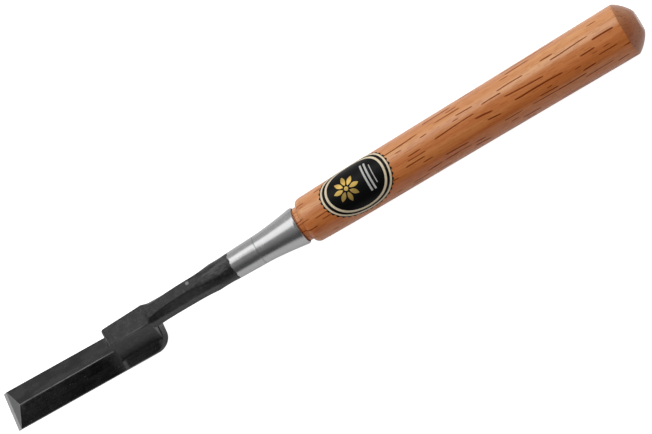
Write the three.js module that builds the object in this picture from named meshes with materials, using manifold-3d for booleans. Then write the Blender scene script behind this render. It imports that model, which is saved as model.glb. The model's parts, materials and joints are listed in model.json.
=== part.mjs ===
// A crank-necked Japanese hand chisel, as it lies on a bench: +X runs from the
// cutting edge to the butt, +Z is up and the tool is symmetric about Y = 0.
// Millimetres.  The blade is modelled on its flat back, the handle on its own
// axis, and the whole tool is then tipped so that the rear edge of the blade
// and the butt of the handle both touch Z = 0.
import * as THREE from "three";
import { mergeVertices } from "three/addons/utils/BufferGeometryUtils.js";
import Module from "manifold-3d";

const wasm = await Module();
wasm.setup();

// ---- Driving dimensions ----------------------------------------------------

const FIT_GAP = 0.3; // between pieces that touch on the real tool
const ROUND_SEGMENTS = 48;

// Blade: a flat-backed bar with a low roof, ground to an edge at x = 0.
const BLADE = {
  length: 96.4,
  tipWidth: 24.0,
  heelWidth: 23.6,
  sideHeight: 1.15,
  tipRidge: 3.8,
  heelRidge: 5.1,
  bevelAngle: THREE.MathUtils.degToRad(29.5),
  heelCornerRadius: 8.6,
};
const STEEL = { thickness: 1.05, length: 68 }; // hard steel under the iron
const HOLLOW = { start: 13, end: 61, width: 17, depth: 0.4 }; // in the flat back

// The handle's axis rises from the back plane towards the butt.
const AXIS_HEIGHT_AT_EDGE = 13.2;
const AXIS_SLOPE = 0.068;

// Boss: the tall block that lifts the neck off the blade.
const BOSS = {
  halfWidth: 6.2,
  footFront: 65.3,
  topFront: 68.9,
  topBend: 85,
  rear: 94.6,
  frontTopOverAxis: 3.7,
  bendTopOverAxis: 4.4,
};

// Neck: an octagon that turns round before the bolster.  Stations along the axis.
const NECK = {
  start: 91,
  roundingStart: 134,
  roundingEnd: 147,
  end: 166,
  halfHeights: [
    [91, 4.9], [97, 6.4], [106, 7.4], [118, 7.9], [130, 7.8], [140, 7.4], [149, 7.7], [166, 8.25],
  ],
  halfWidths: [
    [91, 6.1], [106, 5.9], [118, 5.8], [130, 6.1], [140, 7.0], [149, 7.7], [166, 8.25],
  ],
  flatTopShare: 0.55, // of the half width
  flatSideShare: 0.38, // of the half height
};
const TANG = { length: 60, rootHalf: 3.5, tipHalf: 1.7 };

// Ferrule: a flared ring between the bolster and the wood.
const FERRULE = {
  start: 166.3,
  flareEnd: 190.8,
  end: 192.1,
  startRadius: 8.25,
  flare: 2.61,
  flarePower: 1.45,
  wall: 1.0,
  lip: 0.65, // how far the mouth turns in past the flare
};

// Handle: a spigot inside the ferrule, a rounded shoulder, a long taper and the butt.
const HANDLE = {
  shoulderStart: 195,
  shoulderEnd: 198.5,
  taper: [[198.5, 13.0], [222, 13.5], [254, 13.8], [307, 14.2], [359, 14.75], [394, 15.1]],
  buttStart: 394,
  end: 401.5,
  buttFlatRadius: 6,
  buttPower: 1.35, // superellipse of the rounded butt
};
const TANG_HOLE = { mouthRadius: 5.4, bottomRadius: 3.4, clearance: 2 };

// Label: a thin oval wrapped over the front of the handle.
const LABEL = {
  centre: 230.7,
  halfLength: 21.5,
  halfArc: 18.6,
  lean: THREE.MathUtils.degToRad(11),
  gap: 0.15,
  thickness: 0.2,
};

// ---- Small helpers ---------------------------------------------------------

// The value at x on a line drawn through [x, value] stations.
function along(stations, x) {
  const last = stations.length - 1;
  for (let i = 0; i < last; i += 1) {
    const [x0, v0] = stations[i];
    const [x1, v1] = stations[i + 1];
    if (x <= x1 || i === last - 1) {
      const t = THREE.MathUtils.clamp((x - x0) / (x1 - x0), 0, 1);
      return v0 + (v1 - v0) * t;
    }
  }
  return stations[last][1];
}

// A closed geometry as a manifold solid, and back again.
function toSolid(geometry) {
  const bare = geometry.clone();
  bare.deleteAttribute("normal");
  bare.deleteAttribute("uv");
  const merged = mergeVertices(bare, 1e-4);
  const mesh = new wasm.Mesh({
    numProp: 3,
    vertProperties: new Float32Array(merged.attributes.position.array),
    triVerts: new Uint32Array(merged.index.array),
  });
  return new wasm.Manifold(mesh);
}

function toGeometry(solid) {
  const mesh = solid.getMesh();
  const geometry = new THREE.BufferGeometry();
  geometry.setAttribute("position", new THREE.BufferAttribute(mesh.vertProperties, 3));
  geometry.setIndex(new THREE.BufferAttribute(mesh.triVerts, 1));
  geometry.computeVertexNormals();
  return geometry;
}

// Extrudes a section and puts each of its points where place(u, v, depth) says.
function swept(section, length, steps, place) {
  const geometry = new THREE.ExtrudeGeometry(section, { depth: length, steps, bevelEnabled: false });
  const position = geometry.attributes.position;
  for (let i = 0; i < position.count; i += 1) {
    const point = place(position.getX(i), position.getY(i), position.getZ(i));
    position.setXYZ(i, point.x, point.y, point.z);
  }
  return geometry;
}

// A shape through [u, v] corners.
function polygon(corners) {
  return new THREE.Shape(corners.map(([u, v]) => new THREE.Vector2(u, v)));
}

// A side view, (x, z) corners, extruded across Y by a half width each way.
function sideBlock(corners, halfWidth) {
  const block = new THREE.ExtrudeGeometry(polygon(corners), { depth: 2 * halfWidth, bevelEnabled: false });
  return block.rotateX(Math.PI / 2).translate(0, halfWidth, 0);
}

// A solid turned about the handle's axis, from [x, radius] points.
function turned(profile) {
  const points = profile.map(([x, radius]) => new THREE.Vector2(radius, x));
  return new THREE.LatheGeometry(points, ROUND_SEGMENTS).rotateZ(-Math.PI / 2);
}

function named(name, geometry, material) {
  const mesh = new THREE.Mesh(geometry, material);
  mesh.name = name;
  return mesh;
}

// ---- Materials -------------------------------------------------------------

const forgedIron = new THREE.MeshStandardMaterial({ color: 0x24242a, roughness: 0.55, metalness: 0.8 });
const groundSteel = new THREE.MeshStandardMaterial({ color: 0x8c8e90, roughness: 0.35, metalness: 1 });
const brightSteel = new THREE.MeshStandardMaterial({ color: 0xc4c6c8, roughness: 0.2, metalness: 1 });
const redOak = new THREE.MeshStandardMaterial({ color: 0xb8703f, roughness: 0.45, metalness: 0 });
const blackLabel = new THREE.MeshStandardMaterial({ color: 0x141416, roughness: 0.3, metalness: 0 });

// ---- The handle's axis -----------------------------------------------------

const axisAngle = Math.atan(AXIS_SLOPE);
const axisOffset = AXIS_HEIGHT_AT_EDGE * Math.cos(axisAngle);
const handleAxis = new THREE.Group();
handleAxis.rotation.y = -axisAngle;
handleAxis.position.set(-axisOffset * Math.sin(axisAngle), 0, axisOffset * Math.cos(axisAngle));
handleAxis.updateMatrix();

// ---- Blade -----------------------------------------------------------------

function ridgeHeight(x) {
  return THREE.MathUtils.lerp(BLADE.tipRidge, BLADE.heelRidge, x / BLADE.length);
}

// The roofed bar, longer than the blade at the front so that the bevel trims it.
function roofedBar() {
  const section = polygon([[-1, 0], [1, 0], [1, 1], [0, 2], [-1, 1]]);
  return swept(section, BLADE.length, 8, (u, v, x) => {
    const halfWidth = THREE.MathUtils.lerp(BLADE.tipWidth, BLADE.heelWidth, x / BLADE.length) / 2;
    const z = v <= 1 ? v * BLADE.sideHeight : ridgeHeight(x);
    return new THREE.Vector3(x, u * halfWidth, z);
  });
}

// The plan of the blade: straight sides and a U-shaped heel.
function bladePlan() {
  const radius = BLADE.heelCornerRadius;
  const half = BLADE.tipWidth / 2;
  const heelHalf = BLADE.heelWidth / 2;
  const plan = new THREE.Shape();
  plan.moveTo(-1, -half);
  plan.lineTo(BLADE.length - radius, -heelHalf);
  plan.absarc(BLADE.length - radius, -heelHalf + radius, radius, -Math.PI / 2, 0, false);
  plan.absarc(BLADE.length - radius, heelHalf - radius, radius, 0, Math.PI / 2, false);
  plan.lineTo(-1, half);
  const block = new THREE.ExtrudeGeometry(plan, { depth: 12, curveSegments: 10, bevelEnabled: false });
  return block.translate(0, 0, -3);
}

// Everything under the plane of the cutting bevel.
function underBevel() {
  const rise = 20;
  const run = rise / Math.tan(BLADE.bevelAngle);
  return sideBlock([[0, 0], [BLADE.length + 1, 0], [BLADE.length + 1, rise], [run, rise]], BLADE.tipWidth);
}

const bladeSolid = toSolid(roofedBar()).intersect(toSolid(bladePlan())).intersect(toSolid(underBevel()));

function box(x0, x1, z0, z1) {
  return toSolid(sideBlock([[x0, z0], [x1, z0], [x1, z1], [x0, z1]], BLADE.tipWidth));
}

function makeCuttingSteel() {
  const plate = bladeSolid.intersect(box(-1, STEEL.length, -1, STEEL.thickness));
  const hollow = new THREE.SphereGeometry(1, 40, 24)
    .scale((HOLLOW.end - HOLLOW.start) / 2, HOLLOW.width / 2, HOLLOW.depth)
    .translate((HOLLOW.end + HOLLOW.start) / 2, 0, 0);
  return named("cutting_steel", toGeometry(plate.subtract(toSolid(hollow))), groundSteel);
}

function makeBladeIron() {
  const seat = box(-1, STEEL.length + FIT_GAP, -1, STEEL.thickness + FIT_GAP);
  return named("blade_iron", toGeometry(bladeSolid.subtract(seat)), forgedIron);
}

// ---- Boss, neck, bolster and tang: one forging -------------------------------

// The octagon of the neck, one unit in half width and half height.
function neckSection() {
  const flat = NECK.flatTopShare;
  const side = NECK.flatSideShare;
  const corners = [
    [1, -side], [1, side], [flat, 1], [-flat, 1], [-1, side], [-1, -side], [-flat, -1], [flat, -1],
  ];
  const pointsPerFacet = 5;
  const points = [];
  corners.forEach(([u, v], i) => {
    const [u1, v1] = corners[(i + 1) % corners.length];
    for (let k = 0; k < pointsPerFacet; k += 1) {
      const t = k / pointsPerFacet;
      points.push([u + (u1 - u) * t, v + (v1 - v) * t]);
    }
  });
  return polygon(points);
}

function neckBar() {
  return swept(neckSection(), NECK.end - NECK.start, 25, (u, v, depth) => {
    const x = NECK.start + depth;
    const halfHeight = along(NECK.halfHeights, x);
    const facet = new THREE.Vector2(u * along(NECK.halfWidths, x), v * halfHeight);
    const round = facet.clone().setLength(halfHeight);
    const roundness = THREE.MathUtils.smoothstep(x, NECK.roundingStart, NECK.roundingEnd);
    facet.lerp(round, roundness);
    return new THREE.Vector3(x, facet.x, facet.y);
  });
}

function tangBar() {
  const root = NECK.end - 1;
  const section = polygon([[-1, -1], [1, -1], [1, 1], [-1, 1]]);
  return swept(section, TANG.length + 1, 1, (u, v, depth) => {
    const half = THREE.MathUtils.lerp(TANG.rootHalf, TANG.tipHalf, depth / (TANG.length + 1));
    return new THREE.Vector3(root + depth, u * half, v * half);
  });
}

function bossBlock() {
  const axisHeight = (x) => AXIS_HEIGHT_AT_EDGE + AXIS_SLOPE * x;
  const base = BLADE.sideHeight;
  const corners = [
    [BOSS.footFront, base],
    [BOSS.rear, base],
    [BOSS.rear, axisHeight(BOSS.rear) + along(NECK.halfHeights, BOSS.rear)],
    [BOSS.topBend, axisHeight(BOSS.topBend) + BOSS.bendTopOverAxis],
    [BOSS.topFront, axisHeight(BOSS.topFront) + BOSS.frontTopOverAxis],
  ];
  return sideBlock(corners, BOSS.halfWidth);
}

function makeNeckAndTang() {
  const bar = neckBar().applyMatrix4(handleAxis.matrix);
  const tang = tangBar().applyMatrix4(handleAxis.matrix);
  const seat = bladeSolid.translate([0, 0, FIT_GAP]);
  const forging = toSolid(bossBlock()).add(toSolid(bar)).add(toSolid(tang)).subtract(seat);
  return named("neck_and_tang", toGeometry(forging), forgedIron);
}

// ---- Ferrule and handle ------------------------------------------------------

function ferruleRadius(x) {
  const t = (x - FERRULE.start) / (FERRULE.flareEnd - FERRULE.start);
  return FERRULE.startRadius + FERRULE.flare * THREE.MathUtils.clamp(t, 0, 1) ** FERRULE.flarePower;
}

// Evenly spaced stations from one x to another, both included.
function stations(from, to, count) {
  return Array.from({ length: count + 1 }, (_, i) => from + ((to - from) * i) / count);
}

function makeFerrule() {
  const { start, flareEnd, end, wall, lip } = FERRULE;
  const outside = stations(start, flareEnd, 8).map((x) => [x, ferruleRadius(x)]);
  outside.push([(flareEnd + end) / 2, ferruleRadius(end) - 0.3 * lip], [end, ferruleRadius(end) - lip]);
  const inside = stations(end, start, 8).map((x) => [x, ferruleRadius(x) - wall]);
  return named("ferrule", turned([...outside, ...inside, outside[0]]), brightSteel);
}

function makeHandle() {
  const spigotInset = FERRULE.wall + FIT_GAP;
  const spigotStart = FERRULE.start + FIT_GAP / 2;
  const spigot = stations(spigotStart, FERRULE.end, 5).map((x) => [x, ferruleRadius(x) - spigotInset]);
  const throatRadius = spigot.at(-1)[1];
  const shoulderRadius = HANDLE.taper[0][1];
  const shoulder = stations(0, Math.PI / 2, 5).map((a) => [
    HANDLE.shoulderEnd - (HANDLE.shoulderEnd - HANDLE.shoulderStart) * Math.cos(a),
    throatRadius + (shoulderRadius - throatRadius) * Math.sin(a),
  ]);
  const buttRadius = HANDLE.taper.at(-1)[1];
  const butt = stations(0, 1, 7).slice(1).map((t) => {
    const power = HANDLE.buttPower;
    const drop = (1 - t ** power) ** (1 / power);
    const x = THREE.MathUtils.lerp(HANDLE.buttStart, HANDLE.end, t);
    return [x, HANDLE.buttFlatRadius + (buttRadius - HANDLE.buttFlatRadius) * drop];
  });
  const holeEnd = NECK.end + TANG.length + TANG_HOLE.clearance;
  const profile = [
    [holeEnd, 0],
    [holeEnd, TANG_HOLE.bottomRadius],
    [spigotStart, TANG_HOLE.mouthRadius],
    ...spigot,
    ...shoulder,
    ...HANDLE.taper.slice(1),
    ...butt,
    [HANDLE.end, 0],
  ];
  return named("handle", turned(profile), redOak);
}

// ---- Label -------------------------------------------------------------------

function makeLabel() {
  const { centre, halfLength, halfArc, gap, thickness } = LABEL;
  const ends = [centre - halfLength - 1, centre + halfLength + 1];
  const inner = ends.map((x) => [x, along(HANDLE.taper, x) + gap]);
  const outer = ends.map((x) => [x, along(HANDLE.taper, x) + gap + thickness]);
  const sleeve = toSolid(turned([outer[0], outer[1], inner[1], inner[0], outer[0]]));
  const radius = along(HANDLE.taper, centre) + gap;
  const outline = stations(0, 2 * Math.PI, 48).slice(0, -1).map((a) => [
    centre + halfLength * Math.cos(a),
    radius * Math.sin((halfArc * Math.sin(a)) / radius),
  ]);
  const cutter = new THREE.ExtrudeGeometry(polygon(outline), { depth: 2 * radius, bevelEnabled: false });
  const mesh = named("label", toGeometry(sleeve.intersect(toSolid(cutter))), blackLabel);
  mesh.rotation.x = LABEL.lean;
  return mesh;
}

// ---- Assembly ----------------------------------------------------------------

handleAxis.add(makeFerrule(), makeHandle(), makeLabel());

const tool = new THREE.Group();
tool.add(makeCuttingSteel(), makeBladeIron(), makeNeckAndTang(), handleAxis);

// Tip the tool until the rear edge of the blade and the widest part of the butt are level.
const buttRadius = HANDLE.taper.at(-1)[1];
const buttRest = new THREE.Vector3(HANDLE.buttStart, 0, -buttRadius).applyMatrix4(handleAxis.matrix);
tool.rotation.y = Math.atan2(buttRest.z, buttRest.x - BLADE.length);

const group = new THREE.Group();
group.add(tool);
const bounds = new THREE.Box3().setFromObject(group, true);
tool.position.set(-(bounds.min.x + bounds.max.x) / 2, 0, -bounds.min.z);

export default group;
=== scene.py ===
"""A crank-necked Japanese hand chisel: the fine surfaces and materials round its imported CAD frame.

Shapes are written in millimetres in one of two local frames, whose +Y is the row's own +Y:
    blade frame   x from the cutting edge along the flat back, z up from the back
    axis frame    x from the cutting edge along the handle's axis, z square to that axis
"""
import json
import math
from functools import reduce

import bmesh
import bpy
import numpy as np
from mathutils import Matrix, Vector


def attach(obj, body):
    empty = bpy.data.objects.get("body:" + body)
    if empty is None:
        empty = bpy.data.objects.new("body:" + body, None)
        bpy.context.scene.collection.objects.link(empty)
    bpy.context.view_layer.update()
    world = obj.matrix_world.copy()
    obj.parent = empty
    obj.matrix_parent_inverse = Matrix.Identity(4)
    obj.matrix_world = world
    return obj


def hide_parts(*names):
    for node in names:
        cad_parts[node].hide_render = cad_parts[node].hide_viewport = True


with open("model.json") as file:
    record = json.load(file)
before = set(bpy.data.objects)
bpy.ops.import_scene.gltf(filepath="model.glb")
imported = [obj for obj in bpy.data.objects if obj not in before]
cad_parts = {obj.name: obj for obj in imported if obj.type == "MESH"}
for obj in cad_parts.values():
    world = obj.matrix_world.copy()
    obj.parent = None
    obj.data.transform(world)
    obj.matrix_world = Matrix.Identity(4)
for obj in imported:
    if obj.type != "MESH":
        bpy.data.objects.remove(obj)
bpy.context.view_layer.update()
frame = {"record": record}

MM = 0.001

# ---- The two local frames, from the record's mounts -------------------------------------------

BLADE_MOUNT_X = 82.0  # where the blade_back mount sits on the flat back
BUTT_X = 401.5  # where the butt_end mount sits on the axis
AXIS_SLOPE = 0.068  # the axis rises this much per unit of blade length
AXIS_HEIGHT_AT_EDGE = 13.2


def mount(name):
    found = next(m for m in frame["record"]["mounts"] if m["name"] == name)
    return Vector(found["pos_m"]), Vector(found["axis"])


def local_frame(x_axis, known_point, known_x):
    """The matrix of a local frame whose x axis passes through known_point at known_x."""
    x_axis = x_axis.normalized()
    y_axis = Vector((0, 1, 0))
    z_axis = x_axis.cross(y_axis)
    matrix = Matrix((x_axis, y_axis, z_axis)).transposed().to_4x4()
    matrix.translation = known_point - x_axis * known_x * MM
    return matrix


back_point, back_down = mount("blade_back")
butt_point, butt_out = mount("butt_end")
BLADE = local_frame(Vector((0, 1, 0)).cross(-back_down), back_point, BLADE_MOUNT_X)
AXIS = local_frame(butt_out, butt_point, BUTT_X)
BACK_BELOW_AXIS = AXIS_HEIGHT_AT_EDGE * math.cos(math.atan(AXIS_SLOPE))


def back_height(x):
    """The height of the blade's back plane in the axis frame, at x along the axis."""
    return -BACK_BELOW_AXIS - AXIS_SLOPE * x


# ---- Camera ------------------------------------------------------------------------------------

VIEW_SIDE = math.radians(28)  # from square above the blade, towards -Y
VIEW_BACK = math.radians(10)  # and towards the butt
VIEW_ROLL = math.radians(31.1)  # the tool climbs to the right by this much
VIEW_DISTANCE = 2.1  # metres
VIEW_CLIP = 20.0
VIEW_LENS, VIEW_SENSOR = 218.8, 36.0
VIEW_TARGET = Vector((205.9, 0, 0))  # axis frame
VIEW_TARGET_DOWN = 3.3  # the middle of the picture is this far below it


def make_camera():
    """The camera above the tool, on its -Y side, turned so that the tool climbs to the right."""
    along, _, normal = (AXIS.col[i].to_3d() for i in range(3))
    side = Vector((0, -1, 0))
    back = math.cos(VIEW_BACK) * (math.cos(VIEW_SIDE) * normal + math.sin(VIEW_SIDE) * side)
    back = (back + math.sin(VIEW_BACK) * along).normalized()
    across = (along - along.dot(back) * back).normalized()
    down = across.cross(back)
    right = math.cos(VIEW_ROLL) * across + math.sin(VIEW_ROLL) * down
    up = back.cross(right)
    target = AXIS @ (VIEW_TARGET * MM) + down * VIEW_TARGET_DOWN * MM
    camera = bpy.data.objects.new("camera", bpy.data.cameras.new("camera"))
    camera.data.lens = VIEW_LENS
    camera.data.sensor_width = VIEW_SENSOR
    camera.data.clip_end = VIEW_CLIP
    camera.matrix_world = Matrix((right, up, back)).transposed().to_4x4()
    camera.matrix_world.translation = target + back * VIEW_DISTANCE
    bpy.context.scene.collection.objects.link(camera)
    bpy.context.scene.camera = camera


# ---- Node trees --------------------------------------------------------------------------------


class Nodes:
    """A node tree built by calls: each adds one node, sets it, and links or fills its inputs."""

    def __init__(self, tree):
        self.tree = tree
        tree.nodes.clear()

    def add(self, kind, inputs=(), **settings):
        node = self.tree.nodes.new(kind)
        for name, value in settings.items():
            setattr(node, name, value)
        for name, value in dict(inputs).items():
            socket = node.inputs[name]
            if isinstance(value, bpy.types.NodeSocket):
                self.tree.links.new(value, socket)
            else:
                socket.default_value = value
        return node

    def math(self, operation, a, b=0.0):
        return self.add("ShaderNodeMath", {0: a, 1: b}, operation=operation).outputs[0]

    def product(self, *values):
        return reduce(lambda a, b: self.math("MULTIPLY", a, b), values)

    def total(self, *values):
        return reduce(lambda a, b: self.math("ADD", a, b), values)

    def weighted(self, *pairs):
        """The sum of values, each times its weight."""
        return self.total(*(self.product(value, weight) for value, weight in pairs))

    def strongest(self, *pairs):
        """The largest of several masks, each times its strength."""
        masks = (self.product(mask, strength) for mask, strength in pairs)
        return reduce(lambda a, b: self.math("MAXIMUM", a, b), masks)

    def difference(self, a, b):
        return self.math("SUBTRACT", a, b)

    def distance(self, value, place=0.0):
        return self.math("ABSOLUTE", self.difference(value, place) if place else value)

    def split(self, vector):
        return tuple(self.add("ShaderNodeSeparateXYZ", {0: vector}).outputs)

    def joined(self, x, y=0.0, z=0.0):
        return self.add("ShaderNodeCombineXYZ", {0: x, 1: y, 2: z}).outputs[0]

    def noise(self, vector, scale=1.0, detail=3.0, roughness=0.55, distortion=0.0):
        """Smooth noise, 0 to 1, whose scale is one number or one for each axis."""
        if isinstance(scale, tuple):
            stretch = self.add("ShaderNodeVectorMath", {0: vector, 1: scale}, operation="MULTIPLY")
            vector, scale = stretch.outputs[0], 1.0
        settings = {"Vector": vector, "Scale": scale, "Detail": detail, "Roughness": roughness}
        node = self.add("ShaderNodeTexNoise", {**settings, "Distortion": distortion})
        return node.outputs["Fac"]

    def band(self, value, low, high):
        """0 below low, 1 above high and smooth between, or falling where low is above high."""
        ends = {"From Min": low, "From Max": high}
        if low > high:
            ends = {"From Min": high, "From Max": low, "To Min": 1.0, "To Max": 0.0}
        inputs = {"Value": value, **ends}
        return self.add("ShaderNodeMapRange", inputs, interpolation_type="SMOOTHSTEP").outputs[0]

    def remap(self, value, low, high, to_low, to_high):
        ends = {"From Min": low, "From Max": high, "To Min": to_low, "To Max": to_high}
        return self.add("ShaderNodeMapRange", {"Value": value, **ends}).outputs[0]

    def mix(self, factor, a, b, blend="MIX"):
        inputs = {0: factor, 6: opaque(a), 7: opaque(b)}
        return self.add("ShaderNodeMix", inputs, data_type="RGBA", blend_type=blend).outputs[2]

    def ramp(self, value, stops):
        node = self.add("ShaderNodeValToRGB", {0: value})
        elements = node.color_ramp.elements
        while len(elements) < len(stops):
            elements.new(0.5)
        for element, (place, colour) in zip(elements, stops):
            element.position = place
            element.color = opaque(colour)
        return node.outputs[0]

    def bump(self, height, strength, distance):
        inputs = {"Height": height, "Strength": strength, "Distance": distance}
        return self.add("ShaderNodeBump", inputs).outputs[0]


def opaque(colour):
    """An (r, g, b) colour with its alpha; a socket as it is."""
    return (*colour, 1) if isinstance(colour, tuple) else colour


def new_material(name, local):
    """A material, its nodes, and its place in a local frame, in millimetres."""
    material = bpy.data.materials.new(name)
    material.use_nodes = True
    nodes = Nodes(material.node_tree)
    world = nodes.add("ShaderNodeTexCoord").outputs["Object"]
    frame_of = {"Location": local.translation, "Rotation": tuple(local.to_euler()), "Scale": (MM,) * 3}
    mapping = nodes.add("ShaderNodeMapping", {"Vector": world, **frame_of}, vector_type="TEXTURE")
    return material, nodes, mapping.outputs[0]


def finish_material(nodes, **inputs):
    named = {key.replace("_", " "): value for key, value in inputs.items()}
    shader = nodes.add("ShaderNodeBsdfPrincipled", named)
    nodes.add("ShaderNodeOutputMaterial", {"Surface": shader.outputs[0]})


# ---- Materials ---------------------------------------------------------------------------------
# Noise scales are in cycles per millimetre. Places are in the millimetres of the material's frame.

SCALE_BLACK = (0.0020, 0.0020, 0.0023)
SCALE_DULL = (0.0100, 0.0100, 0.0107)
SCALE_GREY = (0.0330, 0.0330, 0.0345)
GROUND_BLACK = (0.0002, 0.0002, 0.0003)
GROUND_GREY = (0.0125, 0.0125, 0.0128)
# the colour of rubbed iron, and of painted highlights and painted light in shade
IRON_WEAR_AND_PAINTED_LIGHT = (0.11, 0.11, 0.113)
BARE_IRON = (0.27, 0.27, 0.275)
BARE_STEEL = (0.66, 0.66, 0.67)
TURNED_STEEL = (0.44, 0.44, 0.445)
CHIP = (124.2, 1.2, 8.0)  # where the neck's scale has flaked off
CREASE_Y = -5.5  # the middle of the boss's crease


def forge_scale():
    """Black forge scale: mottled, finely pitted, semi-matt. It is rubbed on its corners, on the boss's
    leaning front and crease, and in patches towards the bolster. The boss's rear wall is painted lighter
    as a highlight, and its foot is painted lighter to lift the shade there."""
    material, nodes, mm = new_material("forge_scale", AXIS)
    x, y, z = nodes.split(mm)
    cloud = nodes.noise(mm, scale=0.22, detail=4, roughness=0.6)
    blotch = nodes.noise(mm, scale=0.6, detail=3, roughness=0.6)
    grain = nodes.noise(mm, scale=2.2, detail=3, roughness=0.6)
    tone = nodes.weighted((cloud, 0.4), (grain, 0.2), (blotch, 0.4))
    colour = nodes.ramp(tone, [(0.42, SCALE_BLACK), (0.52, SCALE_DULL), (0.60, SCALE_GREY)])

    pits = nodes.band(nodes.noise(mm, scale=0.9, detail=2, roughness=0.5), 0.62, 0.74)
    pointed = nodes.add("ShaderNodeNewGeometry").outputs["Pointiness"]
    corners = nodes.product(nodes.band(pointed, 0.53, 0.60), nodes.remap(cloud, 0.35, 0.65, 0.2, 0.9))
    facing = nodes.split(nodes.add("ShaderNodeTexCoord").outputs["Normal"])[0]
    front = nodes.band(facing, -0.45, -0.80)
    # painted highlight: the boss's rear wall, below the axis, is painted lighter
    painted_rear_wall_highlight = nodes.product(nodes.band(facing, 0.35, 0.60), nodes.band(z, 0.0, -3.0))
    crease = nodes.product(
        nodes.band(nodes.distance(y, CREASE_Y), 0.9, 0.3), nodes.band(z, 2.6, 3.2), nodes.band(x, 95, 88)
    )
    # painted light: the boss's foot, shaded where it meets the blade, is lightened
    above_back = nodes.total(z, nodes.product(x, AXIS_SLOPE), BACK_BELOW_AXIS)
    foot = nodes.product(nodes.band(above_back, 4.4, 3.0), nodes.band(x, 68, 72))
    streaks = nodes.noise(mm, scale=(0.12, 0.5, 0.5), detail=3, roughness=0.6)
    patches = nodes.product(
        nodes.band(x, 120, 140), nodes.band(streaks, 0.44, 0.62), nodes.band(y, -4.2, -3.2)
    )
    # real wear mixed with painted highlight and painted light in shade
    wear_and_painted_light = nodes.strongest(
        (pits, 0.27), (corners, 0.7), (front, 0.55), (painted_rear_wall_highlight, 1.0), (crease, 0.45), (foot, 0.24),
        (patches, 0.6),
    )
    colour = nodes.mix(wear_and_painted_light, colour, IRON_WEAR_AND_PAINTED_LIGHT)
    from_chip = nodes.add("ShaderNodeVectorMath", {0: mm, 1: CHIP}, operation="DISTANCE").outputs["Value"]
    colour = nodes.mix(nodes.band(from_chip, 1.3, 0.6), colour, BARE_IRON)

    rough = nodes.remap(grain, 0.3, 0.7, 0.34, 0.50)
    normal = nodes.bump(nodes.weighted((grain, 1.0), (cloud, 2.5)), strength=0.6, distance=0.00021)
    finish_material(nodes, Base_Color=colour, Roughness=rough, Normal=normal, Specular_IOR_Level=0.44)
    return material


def on_bevel(nodes, x, z):
    """1 on the ground bevel and 0 behind its upper edge."""
    behind = nodes.difference(nodes.product(x, BEVEL_SLOPE), z)
    return nodes.band(behind, 0.12, 0.05)


def outside_heel_corners(nodes, x, away):
    """How far out a point is from the middles of the heel's round corners."""
    past_x = nodes.math("MAXIMUM", nodes.difference(x, BLADE_LENGTH - HEEL_LEAN - RIM_RADIUS), 0)
    past_y = nodes.math("MAXIMUM", nodes.difference(away, HEEL_HALF_WIDTH - RIM_RADIUS), 0)
    length = nodes.add("ShaderNodeVectorMath", {0: nodes.joined(past_x, past_y)}, operation="LENGTH")
    return length.outputs["Value"]


def black_ground():
    """The blade's blackened faces: painted lighter along the ridge as its highlight, rubbed where the
    grinding stops, filed on the heel's rim, painted lighter behind the boss as light in the shade there,
    and bare on the bevel. They turn duller towards the heel."""
    material, nodes, mm = new_material("black_ground", BLADE)
    x, y, z = nodes.split(mm)
    away = nodes.distance(y)
    lines = nodes.noise(mm, scale=(0.05, 3.0, 3.0), detail=3, roughness=0.6)
    cloud = nodes.noise(mm, scale=(0.10, 0.22, 0.22), detail=4, roughness=0.6)
    tone = nodes.weighted((cloud, 0.6), (lines, 0.4))
    colour = nodes.ramp(tone, [(0.42, GROUND_BLACK), (0.59, GROUND_GREY)])
    bloom = nodes.band(nodes.noise(mm, scale=(0.06, 0.13, 0.13), detail=4, roughness=0.65), 0.44, 0.60)
    bloom = nodes.product(bloom, nodes.band(y, 0.0, 1.5), 0.15)
    colour = nodes.mix(bloom, colour, IRON_WEAR_AND_PAINTED_LIGHT)

    streaks = nodes.noise(mm, scale=(0.12, 0.8, 0.8), detail=3, roughness=0.6)
    # painted highlight: lighter along the ridge, in streaks
    ridge = nodes.product(
        nodes.band(away, 0.55, 0.15),
        nodes.remap(streaks, 0.38, 0.58, 0.10, 1.0),
        nodes.band(x, STEP_FRONT + 4, STEP_FRONT),
    )
    step_x = nodes.total(nodes.product(nodes.band(y, 12, -6), STEP_BACK - STEP_FRONT), STEP_FRONT)
    forged = nodes.difference(x, step_x)
    step = nodes.product(nodes.band(forged, -3.2, 0.0), nodes.band(forged, 1.9, 0.2))
    out = outside_heel_corners(nodes, x, away)
    rim = nodes.product(nodes.band(out, RIM_RADIUS - 0.1, RIM_RADIUS + 0.2), nodes.band(x, 85.5, 88))
    # painted light: the shaded crevice behind the boss is lightened
    painted_light_behind_boss = nodes.band(x, 89.6, 92.0)
    specks = nodes.band(nodes.noise(mm, scale=1.1, detail=1, roughness=0.5), 0.70, 0.76)
    # real wear mixed with painted highlight and painted light in shade
    wear_and_painted_light = nodes.strongest((step, 0.30), (ridge, 1.0), (rim, 0.9), (painted_light_behind_boss, 0.8), (specks, 0.5))
    colour = nodes.mix(wear_and_painted_light, colour, IRON_WEAR_AND_PAINTED_LIGHT)
    bare = on_bevel(nodes, x, z)
    colour = nodes.mix(bare, colour, BARE_IRON)

    rough = nodes.total(
        nodes.remap(lines, 0.3, 0.7, 0.09, 0.13),
        nodes.product(nodes.band(forged, -10.0, -0.5), 0.15),
        nodes.product(bare, 0.22),
    )
    normal = nodes.bump(nodes.weighted((tone, 1.0), (cloud, 3.0)), strength=0.5, distance=0.00006)
    finish_material(nodes, Base_Color=colour, Metallic=bare, Roughness=rough, Normal=normal)
    return material


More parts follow.
